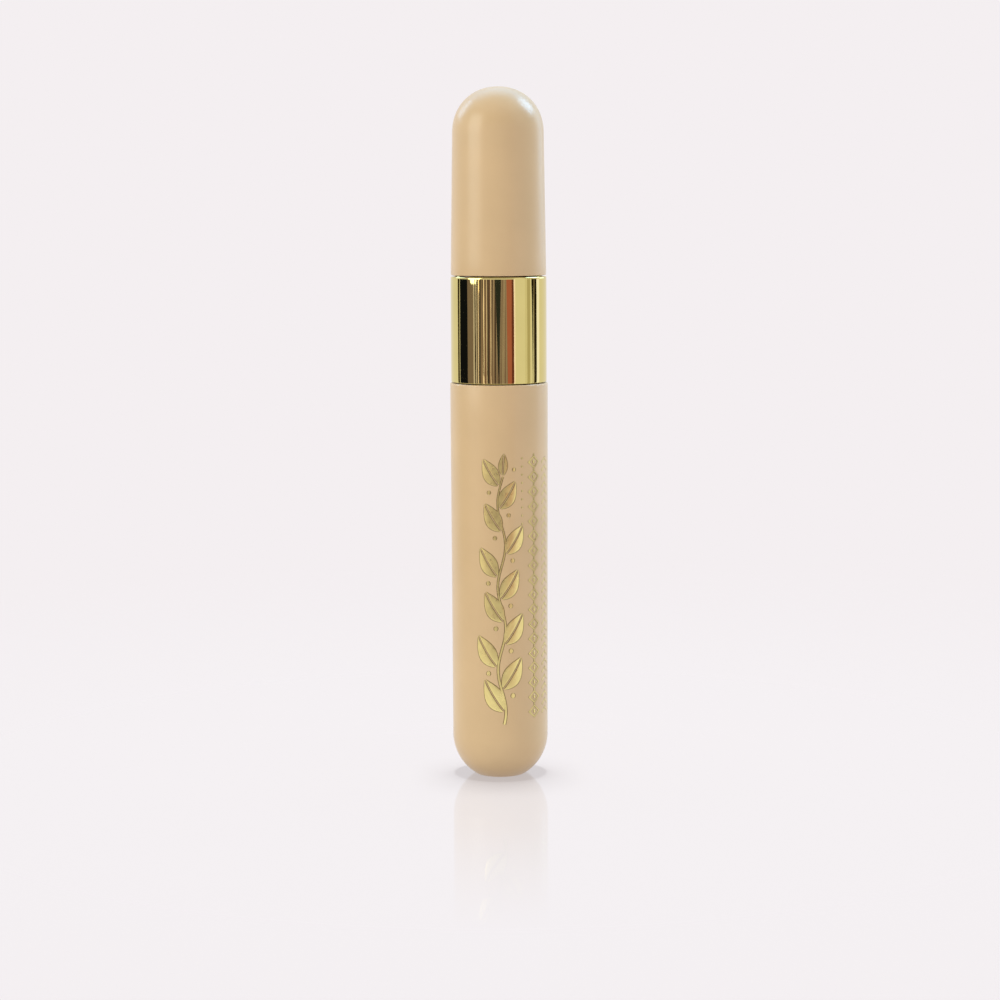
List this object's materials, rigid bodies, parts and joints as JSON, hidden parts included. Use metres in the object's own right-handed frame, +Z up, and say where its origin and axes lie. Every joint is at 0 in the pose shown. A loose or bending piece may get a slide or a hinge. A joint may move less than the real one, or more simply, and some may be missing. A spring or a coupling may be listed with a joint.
{
  "type": "mascara tube",
  "caption": "Slim round mascara tube with domed ends, a mirror gold middle ring and a cap carrying a thin wand with a moulded brush inside a hollow outer stem.",
  "frame": {"origin": "centre of the foot, on the surface that the closed tube stands on", "axes": "+Z up along the tube's axis from the foot to the top of the cap; +X to the right as seen from the front, where the decoration is"},
  "size_m": [0.0192, 0.0192, 0.1355],
  "materials": {
    "beige_shell": "satin soft-touch moulded plastic in warm beige",
    "gold_ring": "mirror-bright gold anodised aluminium",
    "black_plastic": "black moulded plastic with a soft gloss",
    "natural_wiper": "uncoloured translucent low-density plastic",
    "seal_foam": "pale foamed sealing washer",
    "bristles": "black moulded elastomer, wet with mascara in places",
    "paste": "glossy black mascara cream",
    "label_paper": "plain round base label with nothing printed on it"
  },
  "bodies": {
    "bottle": {"bottle_shell": "beige_shell", "base_label": "label_paper", "vial": "black_plastic", "main_wiper": "natural_wiper", "mascara_paste": "paste"},
    "ring_washer": {"ring_seal": "seal_foam"},
    "ring": {"gold_ring": "gold_ring", "ring_core": "black_plastic", "outer_stem": "black_plastic", "inner_wiper": "black_plastic"},
    "cap_washer": {"cap_seal": "seal_foam"},
    "cap": {"cap_shell": "beige_shell", "cap_liner": "black_plastic", "wand_stem": "black_plastic", "brush": "bristles"}
  },
  "joints": [
    {"name": "ring_pull", "type": "slide", "parent": "bottle", "child": "ring_washer", "axis": [0, 0, 1], "range_m": [0, 0.09]},
    {"name": "ring_twist", "type": "hinge", "parent": "ring_washer", "child": "ring", "pos_m": [0, 0, 0.085], "axis": [0, 0, 1], "range_deg": [0, 360]},
    {"name": "cap_pull", "type": "slide", "parent": "ring", "child": "cap_washer", "axis": [0, 0, 1], "range_m": [0, 0.105], "deforming": ["brush"]},
    {"name": "cap_twist", "type": "hinge", "parent": "cap_washer", "child": "cap", "pos_m": [0, 0, 0.11], "axis": [0, 0, 1], "range_deg": [0, 360]}
  ]
}
